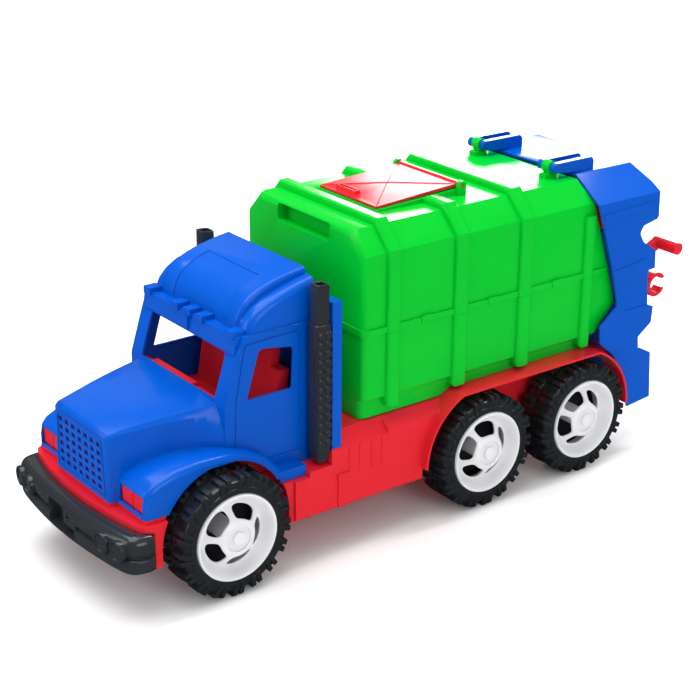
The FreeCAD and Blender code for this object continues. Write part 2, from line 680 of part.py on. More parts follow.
def make_hatch():
    """Lid with crossed folds, a loop handle and side pins."""
    low = lid_z - 7.4
    top = lid_z - 4.9
    slab = prism_x([(-20.0, low), (-20.0, top), (lid_y, lid_z + 1.5), (lid_y, lid_z - 2.0)], -47.0, 47.0)
    back = lid_z + 1.0
    corners = [V(-45.0, -18.0, top), V(45.0, -18.0, top), V(45.0, 80.0, back), V(-45.0, 80.0, back)]
    folds = pyramid(corners, V(0, 31.0, lid_z + 0.4))
    handle = [(-15.0, lid_z - 6.0), (-14.0, lid_z - 0.5), (-8.0, lid_z), (-7.0, lid_z - 6.0)]
    handle = prism_x(handle, -27.0, 5.0)
    handle = handle.cut(box(-24.5, 2.5, -12.5, -9.5, lid_z - 12.0, lid_z + 8.0))
    barrel = prism_x(polygon(3.2, lid_y, lid_z, 8), -47.0, 47.0)
    pins = cyl_x(lid_pin_r, -53.0, 53.0, lid_y, lid_z)
    return join([slab, folds, handle, barrel, pins])


gate_front = [(228.0, 326.0), (227.0, shoulder_z), (237.0, 271.5), (251.5, 229.5)]
gate_front += [(263.5, 187.0, 8.0), (264.0, 178.5), (240.0, 161.0)]
gate_arch = [(242.0, 140.0), (262.5, 123.0), (277.0, 103.0), (287.5, 75.0), (292.7, 53.0)]
gate_rear = [(328.0, 56.4), (323.5, 111.5, 3.0), (306.5, 120.5), (303.5, 118.8)]
gate_rear += [(301.7, 134.8), (321.0, 148.3, 4.0), (322.0, 167.0), (313.7, 170.0)]
gate_rear += [(310.7, 211.7), (320.0, 212.1), (319.3, 233.0, 7.0), (299.0, 246.0, 5.0)]
gate_rear += [(292.4, 257.0, 5.0), (297.5, 265.0), (319.8, 269.6, 4.0), (318.6, 308.0, 7.0), (310.0, 325.0)]


def make_tailgate():
    """Side plates joined by a roof, a rear header and a hopper floor."""
    outline = gate_front + gate_arch + gate_rear
    view = prism_x(outline, -gate_x, gate_x)
    section = prism_y(symmetric([(gate_x, 40.0), (gate_x, 300.0), (73.0, 325.0)]), 100.0, 400.0)
    inner_sec = symmetric([(gate_x - wall, 30.0), (gate_x - wall, 298.5), (72.0, 325.0 - wall)])
    hollow_low = prism_y(inner_sec, 100.0, 400.0).common(box(-150, 150, 100, 400, 0, 267.0))
    hollow_top = prism_y(inner_sec, 100.0, 315.5).common(box(-150, 150, 100, 400, 266.0, 330.0))
    shell = cut(view.common(section), [hollow_low, hollow_top])
    # sunk field on each side plate, and the two raised bands
    field = [(277.0, 171.0), (271.5, 196.0), (279.0, 206.0), (330.0, 210.0), (330.0, 171.0)]
    shell = cut(shell, both(prism_x(field, gate_x - 1.0, gate_x + 1.0)))
    band_high = [(237.0, 281.0), (311.0, 279.5), (311.0, 291.0), (234.0, 288.0)]
    band_low = [(258.0, 209.0), (308.0, 213.0), (308.0, 227.0), (253.0, 221.0)]
    bands = []
    for band in (band_high, band_low):
        bands += both(prism_x(band, gate_x - 1.0, gate_x + 0.8))
    floor_top = [(262.0, 175.0), (268.0, 150.0), (284.0, 138.0), (300.0, 140.0), (309.0, 165.0)]
    floor_low = [(311.5, 165.0), (302.0, 137.8), (284.0, 135.3), (266.0, 148.0), (259.5, 175.0)]
    floor = prism_x(floor_top + floor_low, -gate_x + 1.0, gate_x - 1.0)
    floor = cut(floor, both(box(93.0, 120, 250.0, 274.5, 140.0, 180.0)))
    rear = [(310.0, 60.0), (312.5, 60.0), (312.5, 110.5), (302.9, 117.2), (301.0, 134.5), (301.5, 138.5)]
    rear += [(298.5, 138.5), (298.3, 134.0), (300.4, 115.8), (310.0, 109.0)]
    cross = prism_x(rear, -gate_x + 1, gate_x - 1)
    flange = [(244.6, 267.6), (275.7, 176.0), (275.7, 142.0), (278.2, 142.0), (278.2, 176.0), (247.1, 267.6)]
    flanges = both(prism_x(flange, 96.0, gate_x - 1.0))
    arms = []
    arm = [(hinge_y - 5.0, hinge_z - 5.0, 4.8), (258.0, 323.5)]
    arm += [(258.0, 339.0, 6.0), (hinge_y - 5.0, hinge_z + 5.0, 4.8)]
    for near, far in ((-13.0, -6.0), (6.0, 13.0)):
        arms += both(prism_x(arm, hinge_x + near, hinge_x + far))
    shell = join([shell, floor, cross] + bands + flanges + arms)
    holes = both(cyl_x(hinge_pin_r + pin_play, hinge_x - 11.0, hinge_x + 11.0, hinge_y, hinge_z))
    holes += both(cyl_x(shaft_r + pin_play, gate_x - 10.0, gate_x - 0.8, shaft_y, shaft_z))
    return cut(shell, holes)


def make_packer():
    """Pusher blade that stands between the body and the hopper, wider at its top."""
    blade = [(236.0, 300.0), (239.0, 301.0), (252.0, 240.0), (262.5, 175.0 + gap), (259.5, 175.0 + gap), (249.0, 239.0)]
    head = [(238.5, 296.0), (241.0, 296.0), (247.5, 268.0), (245.0, 268.0)]
    head_x = gate_x - wall - gap
    return join([prism_x(blade, -94.0, 94.0), prism_x(head, -head_x, head_x)])


def make_crank():
    """Lateral shaft with an arm and a round grip."""
    shaft = cyl_x(shaft_r, 1.1 - gate_x, gate_x - 1.1, shaft_y, shaft_z)
    arm = hull_bar(90.0, 97.0, ((shaft_y, shaft_z), (knob_y, knob_z)), 6.0)
    grip = prism_x(polygon(6.7, knob_y, knob_z), 90.0, 124.0)
    return join([shaft, arm, grip])


def make_lifter():
    """Two arms with open clips that take the rim of a bin."""
    x = 80.0
    elbow = (327.0, 184.0)
    arm = hull_bar(x - 4.0, x + 4.0, ((shaft_y, shaft_z), elbow), 6.5)
    link = hull_bar(x - 4.0, x + 4.0, (elbow, (341.0, 181.0)), 5.5)
    ring = prism_x(polygon(clip_r + 4.5, clip_y, clip_z), x - 6.0, x + 6.0)
    ring = ring.cut(box(x - 8.0, x + 8.0, clip_y + 2.0, clip_y + 20.0, clip_z - 5.0, clip_z + 6.0))
    one = join([arm, link, ring]).cut(cyl_x(shaft_r + pin_play, x - 9.0, x + 9.0, shaft_y, shaft_z))
    one = one.cut(cyl_x(clip_r, x - 9.0, x + 9.0, clip_y, clip_z))
    bar = prism_x(polygon(3.5, elbow[0], elbow[1], 8), -x + 2.0, x - 2.0)
    return join(both(one) + [bar])


# Wheels
def tooth_ring(x0, x1, shift):
    """Toothed prism between x0 and x1: lug_count lugs out to the tyre radius."""
    points = []
    pitch = 360.0 / lug_count
    for k in range(lug_count):
        start = (k + shift) * pitch
        for along, r in ((0.0, tyre_base_r), (1.0, tyre_r), (lug_span, tyre_r), (lug_span + 1.0, tyre_base_r)):
            a = math.radians(start + along)
            points.append((r * math.cos(a), r * math.sin(a)))
    return prism_x(points, x0, x1)


def make_tyre():
    """Tyre about the X axis through the origin, outer side toward +X."""
    seat_x = tyre_out - seat_depth
    snug = barrel_r + 0.1
    loose = rim_r + gap
    hole = faceted_ring([(tyre_in - 1, 1.0), (tyre_out + 1, 1.0), (tyre_out + 1, loose),
                         (seat_x, loose), (seat_x, snug), (tyre_in - 1, snug)], wheel_sides)
    (inner_x0, inner_x1), (outer_x0, outer_x1) = lug_rows
    middle = prism_x(polygon(tyre_base_r - 1.0, 0, 0, lug_count), inner_x1, outer_x0)
    body = join([tooth_ring(inner_x0, inner_x1, 0.5), middle, tooth_ring(outer_x0, outer_x1, 0.0)])
    core = prism_x(polygon(1.5, 0, 0, 8), tyre_in - 2, tyre_out + 2)
    return cut(body, [hole, core])


def make_rim():
    """Rim with a sunk bowl, a cone pierced by five windows and a raised boss."""
    bore = (axle_r + pin_play) / math.cos(math.pi / wheel_sides)
    bowl_x = rim_out - bowl_depth
    seat_x = tyre_out - seat_depth + gap
    crest_x = boss_out - wall
    flange_r = rim_r - 0.2
    profile = [(tyre_in - 2.0, bore), (tyre_in - 2.0, hub_r), (crest_x - 3.5, hub_r), (bowl_x - wall, 36.5)]
    profile += [(barrel_in, 36.5), (barrel_in, barrel_r), (seat_x, barrel_r)]
    profile += [(seat_x, flange_r), (rim_out, flange_r), (rim_out, 37.0)]
    profile += [(bowl_x, 33.0), (crest_x, 19.0), (boss_out, 14.5), (boss_out, bore)]
    windows = []
    for k in range(window_count):
        middle = k * 360.0 / window_count
        sector = []
        for r, sign in ((19.5, -1), (31.0, -1), (31.0, 1), (19.5, 1)):
            t = math.radians(middle + sign * 23.0)
            sector.append((r * math.cos(t), r * math.sin(t)))
        windows.append(prism_x(sector, 100.0, rim_out))
    return cut(faceted_ring(profile, wheel_sides), windows)


def make_cap():
    """Stepped cap that closes the axle bore."""
    foot = boss_out + gap / 2
    disc = prism_x(polygon(6.5, 0, 0, 10), foot, foot + 0.8)
    top = prism_x(polygon(5.0, 0, 0, 10), foot + 0.8, foot + 1.4)
    return join([disc, top])


def make_axle(y):
    return cyl_x(axle_r, 4.0 - tyre_out, tyre_out - 4.0, y, axle_z)


def placed(shape, y, side, turn):
    copy = shape.copy()
    copy.rotate(V(0, 0, 0), AXIS_X, turn)
    if side < 0:
        copy = mirrored(copy)
    copy.translate(V(0, y, axle_z))
    return copy


os.makedirs("parts", exist_ok=True)
parts = {}
parts["chassis"] = make_chassis()
parts["bumper"] = make_bumper()
parts["cab_shell"] = make_cab()
parts["lamp_panel"] = make_lamp_panel()
parts["seats"] = make_seats()
parts["stack_left"] = make_stack(1)
parts["stack_right"] = make_stack(-1)
parts["body_lower"], parts["body_upper"] = make_body()
parts["hatch"] = make_hatch()
parts["tailgate"] = make_tailgate()
parts["packer_plate"] = make_packer()
parts["crank"] = make_crank()
parts["lifter"] = make_lifter()
tyre, rim, cap = make_tyre(), make_rim(), make_cap()
turns = {"front": window_phase, "mid": window_phase + 24.0, "rear": window_phase - 20.0}
for row, y in wheel_y.items():
    parts["axle_" + row] = make_axle(y)
    for name, side in (("left", 1), ("right", -1)):
        parts["tyre_" + row + "_" + name] = placed(tyre, y, side, turns[row])
        parts["rim_" + row + "_" + name] = placed(rim, y, side, turns[row])
        parts["hub_cap_" + row + "_" + name] = placed(cap, y, side, turns[row])

low = [1e9] * 3
high = [-1e9] * 3
for name, shape in parts.items():
    if not shape.isValid() or shape.Volume <= 0:
        print("check", name, shape.isValid(), shape.Volume)
    shape.translate(V(0, centre_shift, 0))
    b = shape.BoundBox
    low = [min(low[0], b.XMin), min(low[1], b.YMin), min(low[2], b.ZMin)]
    high = [max(high[0], b.XMax), max(high[1], b.YMax), max(high[2], b.ZMax)]
    print(name, len(shape.Solids), round(shape.Volume / 1000, 1))
    shape.exportStep("parts/" + name + ".step")
print("bounds", [round(v, 1) for v in low], [round(v, 1) for v in high])
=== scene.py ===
# %% [markdown]
# A moulded toy refuse truck, dressed for the camera
#
# The real toy is a handful of injection-moulded pieces that snap together.  The
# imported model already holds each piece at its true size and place, so this lesson
# keeps that frame and gives every piece the surface it has in the hand: soft
# moulded edges, treaded tyres, dished wheels and glossy coloured plastic.

import json
import math

import bmesh
import bpy
import numpy as np
from mathutils import Matrix, Vector


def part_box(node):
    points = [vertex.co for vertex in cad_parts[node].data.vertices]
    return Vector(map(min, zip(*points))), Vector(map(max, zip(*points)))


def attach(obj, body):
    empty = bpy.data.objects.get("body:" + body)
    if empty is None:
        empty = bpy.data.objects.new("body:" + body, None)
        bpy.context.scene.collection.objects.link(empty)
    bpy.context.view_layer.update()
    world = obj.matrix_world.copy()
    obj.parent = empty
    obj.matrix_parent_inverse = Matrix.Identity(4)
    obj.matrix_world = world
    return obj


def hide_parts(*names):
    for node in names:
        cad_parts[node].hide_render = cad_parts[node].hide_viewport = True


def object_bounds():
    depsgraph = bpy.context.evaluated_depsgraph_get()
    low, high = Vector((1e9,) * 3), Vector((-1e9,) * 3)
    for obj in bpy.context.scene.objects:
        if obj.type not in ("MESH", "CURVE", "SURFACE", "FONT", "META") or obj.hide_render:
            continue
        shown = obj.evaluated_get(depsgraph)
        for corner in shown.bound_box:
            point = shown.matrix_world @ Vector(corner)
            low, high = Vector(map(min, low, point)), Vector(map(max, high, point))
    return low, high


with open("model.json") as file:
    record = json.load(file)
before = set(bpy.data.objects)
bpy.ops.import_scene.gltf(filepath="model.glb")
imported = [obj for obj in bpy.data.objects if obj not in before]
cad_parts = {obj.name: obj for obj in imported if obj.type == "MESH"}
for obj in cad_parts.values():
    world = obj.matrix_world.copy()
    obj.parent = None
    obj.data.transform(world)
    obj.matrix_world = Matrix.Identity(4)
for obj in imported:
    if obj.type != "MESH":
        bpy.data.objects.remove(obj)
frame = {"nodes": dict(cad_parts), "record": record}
cad_low, cad_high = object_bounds()
MM = 0.001
print("frame box in metres", tuple(cad_low), tuple(cad_high))

# %% [markdown]
# The camera comes first, because it settles what has to be finished most
# carefully.  A product photograph like this one is taken with a long lens from a
# little above, so the camera is set by where it stands and by the two angles of
# its line of sight, with a very small roll.

# %% Place the camera
CAMERA_PLACE = (1.25826, -0.97862, 0.80297)
CAMERA_AZIMUTH = math.radians(52.6677)
CAMERA_ELEVATION = math.radians(22.1740)
CAMERA_ROLL = math.radians(0.5203)
LENS_MM = 83.96
SENSOR_MM = 36.0


def aim(place, azimuth, elevation, roll):
    """World matrix of a camera that stands at place.

    The backward axis comes from azimuth and elevation; the right and up axes are
    then turned about it by the roll.
    """
    flat = math.cos(elevation)
    back = Vector((math.sin(azimuth) * flat, -math.cos(azimuth) * flat, math.sin(elevation)))
    right = Vector((0, 0, 1)).cross(back).normalized()
    up = back.cross(right)
    turned = right * math.cos(roll) + up * math.sin(roll)
    risen = up * math.cos(roll) - right * math.sin(roll)
    matrix = Matrix((turned, risen, back)).transposed().to_4x4()
    matrix.translation = Vector(place)
    return matrix


camera = bpy.data.objects.new("camera", bpy.data.cameras.new("camera"))
bpy.context.scene.collection.objects.link(camera)
camera.data.sensor_width = SENSOR_MM
camera.data.lens = LENS_MM
camera.matrix_world = aim(CAMERA_PLACE, CAMERA_AZIMUTH, CAMERA_ELEVATION, CAMERA_ROLL)
bpy.context.scene.camera = camera
print("camera stands", round(camera.location.length, 3), "m from the origin")

# %% [markdown]
# The studio is a white sweep under a large soft box.  Glossy plastic shows its
# shape through what it reflects, so the lights are broad panels with dark gaps
# between them.  The background is white for the camera, the light that reaches
# the toy from the room is a gentle gradient, and mirror-like rays meet a dim room
# and a dim floor, as under a polarising filter, so that the dyes stay deep.  The
# dim floor is a painted reflection: the floor is white to the camera and in the
# light it throws back, and is painted dark grey only for mirror-like rays.  A
# panel is given by its name, its place, the point that it faces, its two sides in
# metres and its power in watts.

# %% Floor, room light and panels
FLOOR_SIDE = 60.0
FLOOR_GREY = 0.96
FLOOR_SHINE = 0.03
ROOM_TOP = 0.86
ROOM_LOW = 0.52
SHINE_TOP = 0.25
SHINE_LOW = 0.01
PANELS = [
    ("overhead panel", (-0.30, -0.40, 1.9), (0.0, 0.0, 0.0), (1.9, 1.5), 28.0),
    ("front panel", (-0.9, -2.3, 1.1), (0.0, 0.0, 0.15), (1.2, 1.5), 12.0),
    ("side panel", (2.6, -0.2, 1.3), (0.0, 0.1, 0.15), (1.4, 1.2), 14.0),
    ("far panel", (-1.98, 2.34, 1.13), (0.0, 0.15, 0.32), (1.5, 0.95), 44.0),
    ("crease light", (0.05, 0.92, 1.95), (0.0, 0.0, 0.2), (0.16, 0.95), 12.0),
    ("far high light", (-2.5, 0.45, 1.5), (0.0, -0.2, 0.2), (1.2, 1.1), 1.0),
]


def panel(name, place, target, size, watts):
    """A rectangular soft light at place that faces target."""
    light = bpy.data.lights.new(name, "AREA")
    light.shape = "RECTANGLE"
    light.size, light.size_y = size
    light.energy = watts
    lamp = bpy.data.objects.new(name, light)
    bpy.context.scene.collection.objects.link(lamp)
    lamp.location = place
    facing = Vector(target) - Vector(place)
    lamp.rotation_euler = facing.to_track_quat("-Z", "Y").to_euler()


for settings in PANELS:
    panel(*settings)
bpy.context.scene.view_settings.view_transform = "Standard"
print(len(PANELS), "panels")

# %% [markdown]
# Shader maths reads best as arithmetic, so one small class wraps a socket of a
# node tree and gives it operators.  A plastic is then a few lines: a colour, a
# faint flow pattern, a fine grain and rounded edges.

# %% Sockets that can be added and multiplied
class Wire:
    """A socket that carries a number, with the operators that are used."""

    def __init__(self, tree, socket):
        self.tree = tree
        self.socket = socket

    def math(self, operation, first, second=0.0):
        """A Math node on two numbers or wires."""
        return self.tree.add("ShaderNodeMath", {"operation": operation}, {0: first, 1: second})

    def __add__(self, other):
        return self.math("ADD", self, other)

    def __radd__(self, other):
        return self.math("ADD", other, self)

    def __sub__(self, other):
        return self.math("SUBTRACT", self, other)

    def __rsub__(self, other):
        return self.math("SUBTRACT", other, self)

    def __mul__(self, other):
        return self.math("MULTIPLY", self, other)

    def __rmul__(self, other):
        return self.math("MULTIPLY", other, self)


class Tree:
    """A node tree with one way to add any node."""

    def __init__(self, node_tree):
        self.nodes = node_tree.nodes
        self.links = node_tree.links
        self.nodes.clear()

    def add(self, kind, settings=None, sockets=None, output=0):
        """Add a node: settings first, then values or wires on its inputs."""
        node = self.nodes.new(kind)
        for key, value in (settings or {}).items():
            setattr(node, key, value)
        for key, value in (sockets or {}).items():
            if isinstance(value, Wire):
                self.links.new(value.socket, node.inputs[key])
            else:
                node.inputs[key].default_value = value
        return Wire(self, node.outputs[output]) if len(node.outputs) else None

    def blend(self, share, first, second):
        """Two colours mixed by share; inputs 0, 6 and 7 of a Mix node and output 2 are for that."""
        return self.add("ShaderNodeMix", {"data_type": "RGBA"}, {0: share, 6: first, 7: second}, output=2)


# %% The room as the toy sees it and as the camera sees it
def make_room():
    """World light: white for the camera, dim for mirror-like rays, a soft gradient for the rest.

    Both gradients run straight from their value at the horizon to that at the zenith.
    """
    world = bpy.data.worlds.new("room")
    world.use_nodes = True
    bpy.context.scene.world = world
    tree = Tree(world.node_tree)
    place = tree.add("ShaderNodeTexCoord", output="Generated")
    height = tree.add("ShaderNodeSeparateXYZ", sockets={0: place}, output="Z")
    rise = height.math("MAXIMUM", height, 0.0)
    grey = rise * (ROOM_TOP - ROOM_LOW) + ROOM_LOW
    shine = rise * (SHINE_TOP - SHINE_LOW) + SHINE_LOW
    white = (1, 1, 1, 1)
    lit = tree.add("ShaderNodeBackground", sockets={"Color": white, "Strength": grey})
    glint = tree.add("ShaderNodeBackground", sockets={"Color": white, "Strength": shine})
    seen = tree.add("ShaderNodeBackground", sockets={"Color": white, "Strength": 1.0})
    is_glossy = tree.add("ShaderNodeLightPath", output="Is Glossy Ray")
    is_camera = tree.add("ShaderNodeLightPath", output="Is Camera Ray")
    rest = tree.add("ShaderNodeMixShader", sockets={0: is_glossy, 1: lit, 2: glint})
    every = tree.add("ShaderNodeMixShader", sockets={0: is_camera, 1: rest, 2: seen})
    tree.add("ShaderNodeOutputWorld", sockets={"Surface": every})


make_room()

# %% [markdown]
# Moulded polypropylene is glossy but never perfect: the skin has a shallow
# orange-peel waviness, a slight unevenness of gloss, and faint clouding of the
# dye where the melt flowed.  The last two share one broad noise and the waviness
# has a fine one, both on the object's own coordinates, so they stay put when a
# piece moves.

# %% Plastic finishes
FLOW_SCALE, FLOW_DETAIL = 14.0, 3.0
GRAIN_SCALE, GRAIN_DETAIL = 420.0, 2.0
GRAIN_HEIGHT = 0.2
GLOSS_SPREAD = 0.06
EDGE_RADIUS, EDGE_SAMPLES = 0.6, 4


def plastic(name, colour, roughness, peel=0.02, cloud=0.06, mirror=0.5):
    """Moulded plastic: clouded dye, uneven gloss, fine peel and rounded edges.

    The dye runs from (1 - cloud) to (1 + cloud) times the colour with a broad
    noise, and the roughness varies by GLOSS_SPREAD with the same noise.  The
    normal is that of a rounded edge, bumped by a fine noise of strength peel, and
    mirror sets how strongly the skin reflects.
    """
    material = bpy.data.materials.new(name)
    material.use_nodes = True
    tree = Tree(material.node_tree)
    place = tree.add("ShaderNodeTexCoord", output="Object")
    broad = {"Vector": place, "Scale": FLOW_SCALE, "Detail": FLOW_DETAIL}
    flow = tree.add("ShaderNodeTexNoise", sockets=broad)
    small = {"Vector": place, "Scale": GRAIN_SCALE, "Detail": GRAIN_DETAIL}
    grain = tree.add("ShaderNodeTexNoise", sockets=small)
    dark = tuple(c * (1.0 - cloud) for c in colour) + (1.0,)
    light = tuple(c * (1.0 + cloud) for c in colour) + (1.0,)
    dye = tree.blend(flow, dark, light)
    gloss = roughness - GLOSS_SPREAD / 2 + flow * GLOSS_SPREAD
    rounded = tree.add("ShaderNodeBevel", {"samples": EDGE_SAMPLES}, {"Radius": EDGE_RADIUS * MM})
    bumped = tree.add(
        "ShaderNodeBump",
        sockets={"Strength": peel, "Distance": GRAIN_HEIGHT * MM, "Height": grain, "Normal": rounded},
    )
    skin = tree.add(
        "ShaderNodeBsdfPrincipled",
        sockets={"Base Color": dye, "Roughness": gloss, "Normal": bumped, "Specular IOR Level": mirror},
    )
    tree.add("ShaderNodeOutputMaterial", sockets={"Surface": skin})
    return material


FINISHES = {
    "red_plastic": plastic("red plastic", (0.72, 0.016, 0.028), 0.20, mirror=0.3),
    "blue_plastic": plastic("blue plastic", (0.0, 0.086, 0.52), 0.19, mirror=0.25),
    "green_plastic": plastic("green plastic", (0.0, 0.52, 0.026), 0.20, mirror=0.25),
    "black_plastic": plastic("black plastic", (0.022, 0.026, 0.030), 0.15),
    "white_plastic": plastic("white plastic", (0.76, 0.76, 0.78), 0.30, cloud=0.015),
    "tyre_black": plastic("tyre black", (0.014, 0.017, 0.020), 0.26, peel=0.10),
    "axle_steel": plastic("axle steel", (0.55, 0.55, 0.57), 0.30),
}
slot_of = {part["node"]: part["material_slot"] for part in frame["record"]["subparts"]}
for node, piece in frame["nodes"].items():
    piece.data.materials.clear()
    piece.data.materials.append(FINISHES[slot_of[node]])
print(len(FINISHES), "finishes on", len(slot_of), "pieces")

# %% Floor
FLOOR_ROUGHNESS = 0.9


def make_floor():
    """A wide plain sheet just under the wheels, white to the camera, with its reflection on the toy
    painted dark grey.
    """
    half = FLOOR_SIDE / 2
    mesh = bpy.data.meshes.new("floor")
    corners = [(-half, -half, 0), (half, -half, 0), (half, half, 0), (-half, half, 0)]
    mesh.from_pydata(corners, [], [(0, 1, 2, 3)])
    floor = bpy.data.objects.new("floor", mesh)
    bpy.context.scene.collection.objects.link(floor)
    floor.location.z = cad_low.z
    material = bpy.data.materials.new("floor paper")
    material.use_nodes = True
    tree = Tree(material.node_tree)
    # Mirror-like rays from the toy see the floor in the dark FLOOR_SHINE grey instead of white: a painted
    # darker reflection of the floor.
    is_glossy = tree.add("ShaderNodeLightPath", output="Is Glossy Ray")
    white = (FLOOR_GREY, FLOOR_GREY, FLOOR_GREY, 1)
    dim = (FLOOR_SHINE, FLOOR_SHINE, FLOOR_SHINE, 1)
    paper_and_painted_reflection = tree.blend(is_glossy, white, dim)
    matt = {"Base Color": paper_and_painted_reflection, "Roughness": FLOOR_ROUGHNESS}
    skin = tree.add("ShaderNodeBsdfPrincipled", sockets=matt)
    tree.add("ShaderNodeOutputMaterial", sockets={"Surface": skin})
    floor.data.materials.append(material)


make_floor()

# %% [markdown]
# New surfaces are worked out as whole arrays.  A grid of points becomes a mesh in
# one call, and the sign of its volume says whether the faces have to be turned to
# look outwards.

# %% Grids to meshes
def circle(count):
    """Angles that share one whole turn evenly."""
    return np.arange(count) * 2 * math.pi / count


def grid_faces(rows, columns, first=0):
    """Quads of a grid that closes on itself along its columns only.

    Point (i, j) has number first + i * columns + j, and each quad joins (i, j),
    (i + 1, j), (i + 1, j + 1) and (i, j + 1) with j + 1 taken round.
    """
    i, j = np.meshgrid(np.arange(rows - 1), np.arange(columns), indexing="ij")
    k = (j + 1) % columns
    near, far = i * columns, (i + 1) * columns
    quads = np.stack([near + j, far + j, far + k, near + k], axis=-1)
    return quads.reshape(-1, 4) + first


def capped(rings):
    """Stack of rings, closed at both ends by a ring that has shrunk to its own middle."""
    ends = [np.broadcast_to(rings[k].mean(axis=0), rings[k].shape) for k in (0, -1)]
    return np.stack([ends[0], *rings, ends[1]])


def signed_volume(points, faces):
    """Sixth of the sum of corner triple products over the quads' two triangles."""
    a, b, c, d = (points[faces[:, n]] for n in range(4))
    return (np.einsum("ij,ij->i", a, np.cross(b, c)) + np.einsum("ij,ij->i", a, np.cross(c, d))).sum() / 6


def make_piece(name, points, faces, body, slot_name, replaced=(), sharp=35.0, weld=0.002):
    """Mesh object from points in millimetres: turned outwards, welded, finished and riding.

    Points closer than weld become one, and edges that turn by more than sharp
    degrees stay crisp.
    """
    if signed_volume(points, faces) < 0:
        faces = faces[:, ::-1]
    mesh = bpy.data.meshes.new(name)
    mesh.from_pydata(points * MM, [], faces.tolist())
    work = bmesh.new()
    work.from_mesh(mesh)
    bmesh.ops.remove_doubles(work, verts=work.verts, dist=weld * MM)
    bmesh.ops.recalc_face_normals(work, faces=work.faces)
    work.to_mesh(mesh)
    work.free()
    mesh.shade_smooth()
    mesh.set_sharp_from_angle(angle=math.radians(sharp))
    piece = bpy.data.objects.new(name, mesh)
    bpy.context.scene.collection.objects.link(piece)
    piece.data.materials.append(FINISHES[slot_name])
    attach(piece, body)
    if replaced:
        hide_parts(*replaced)


# %% Where the wheels are
WHEEL_TURNS = {"front": 137.0, "mid": 161.0, "rear": 117.0}
SIDES = {"left": 1.0, "right": -1.0}


def wheel_place(row, side):
    """Centre of one wheel in millimetres, on the truck's middle plane, and its side's sign."""
    low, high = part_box("rim_" + row + "_" + side)
    return np.array([0.0, (low.y + high.y) / 2 / MM, (low.z + high.z) / 2 / MM]), SIDES[side]


def turned(x, radius, angle, centre, sign):
    """Points at distance x along the axle, at a radius and an angle from +Y towards +Z."""
    shape = np.broadcast(x, radius, angle).shape
    points = np.empty(shape + (3,))
    points[..., 0] = sign * x
    points[..., 1] = radius * np.cos(angle)
    points[..., 2] = radius * np.sin(angle)
    return points + centre


# %% [markdown]
# The tyre is one blown moulding with a closed inner wall, so black shows behind the
# windows of the rim, and two rows of blocks.  Each row has seventeen strong
# lugs that a thin slit splits in two, the rows are out of step by half a pitch,
# and the lugs run down over the shoulder.  A section of stations is carried round
# the wheel; every station is given by its place along the axle and its radius,
# first in a groove and then on a lug, and the mask of its row moves it between
# the two.

# %% The tyre
LUGS = 17
LUG_EDGES = (0.0, 0.45, 4.7, 5.15, 7.2, 7.65, 11.9, 12.35)
LUG_HEIGHTS = (0.0, 1.0, 1.0, 0.35, 0.35, 1.0, 1.0, 0.0)
TYRE_HALF = [
    (119.0, 44.6, 119.0, 44.6), (123.0, 44.6, 123.0, 44.6), (123.6, 45.2, 123.6, 45.2),
    (123.7, 48.0, 123.7, 48.0), (123.6, 50.2, 123.6, 50.2), (122.5, 50.9, 123.9, 50.6),
    (122.3, 54.0, 124.0, 54.0), (121.4, 56.6, 123.9, 59.0), (120.0, 57.5, 123.3, 61.3),
    (118.0, 57.7, 121.9, 62.4), (113.0, 57.9, 115.0, 62.5), (108.6, 58.1, 108.7, 62.4),
    (107.6, 58.1, 107.3, 61.5), (106.6, 58.2, 106.6, 58.2),
]
TYRE_MIDDLE_X = 103.0
TYRE_INSIDE = [
    (82.3, 46.0), (82.3, 42.0), (82.6, 12.0), (83.0, 11.4), (84.4, 11.4), (84.8, 12.0),
    (85.2, 38.6), (86.4, 40.4), (118.6, 40.4),
]
SWEEP_DEGREES, SWEEP_POWER = 3.5, 1.5
SWEEP_START, SWEEP_SPAN = 60.0, 10.0


def lug_mask(angle_deg, shift):
    """Height from 0 in a groove to 1 on a lug, for a row turned by a share of the pitch."""
    pitch = 360.0 / LUGS
    along = (angle_deg - shift * pitch) % pitch
    return np.interp(along, LUG_EDGES + (pitch,), LUG_HEIGHTS + (0.0,))


def make_tyre(row, side):
    """Closed section carried round the axle; each station slides from groove to lug.

    Inside the radius SWEEP_START the lugs trail back round the wheel, by
    SWEEP_DEGREES at SWEEP_SPAN further in.
    """
    centre, sign = wheel_place(row, side)
    pitch = 360.0 / LUGS
    marks = np.array(LUG_EDGES)
    local = np.sort(np.concatenate([marks, (marks + pitch / 2) % pitch]))
    angle = (np.arange(LUGS)[:, None] * pitch + local).ravel()
    half = np.array(TYRE_HALF)
    mirror = half[:2:-1].copy()
    mirror[:, [0, 2]] = 2 * TYRE_MIDDLE_X - mirror[:, [0, 2]]
    inside = np.tile(np.array(TYRE_INSIDE), 2)
    section = np.concatenate([half, mirror, inside])
    rows = np.repeat((0.0, 0.5, 0.0), (len(half), len(mirror), len(inside)))
    mask = np.stack([lug_mask(angle, shift) for shift in rows])
    x = section[:, :1] + (section[:, 2:3] - section[:, :1]) * mask
    radius = section[:, 1:2] + (section[:, 3:4] - section[:, 1:2]) * mask
    inward = np.clip((SWEEP_START - section[:, 3:4]) / SWEEP_SPAN, 0.0, 1.0)
    sweep = SWEEP_DEGREES * inward ** SWEEP_POWER
    turn = math.radians(WHEEL_TURNS[row])
    points = turned(x, radius, np.radians(angle + sweep) + turn, centre, sign)
    points = np.concatenate([points, points[:1]]).reshape(-1, 3)
    faces = grid_faces(len(section) + 1, len(angle))
    wheel = row + "_" + side
    name = "tyre_" + wheel
    make_piece(name + "_tread", points, faces, "wheel_" + wheel, "tyre_black", (name,), weld=0.005)
    return len(faces)


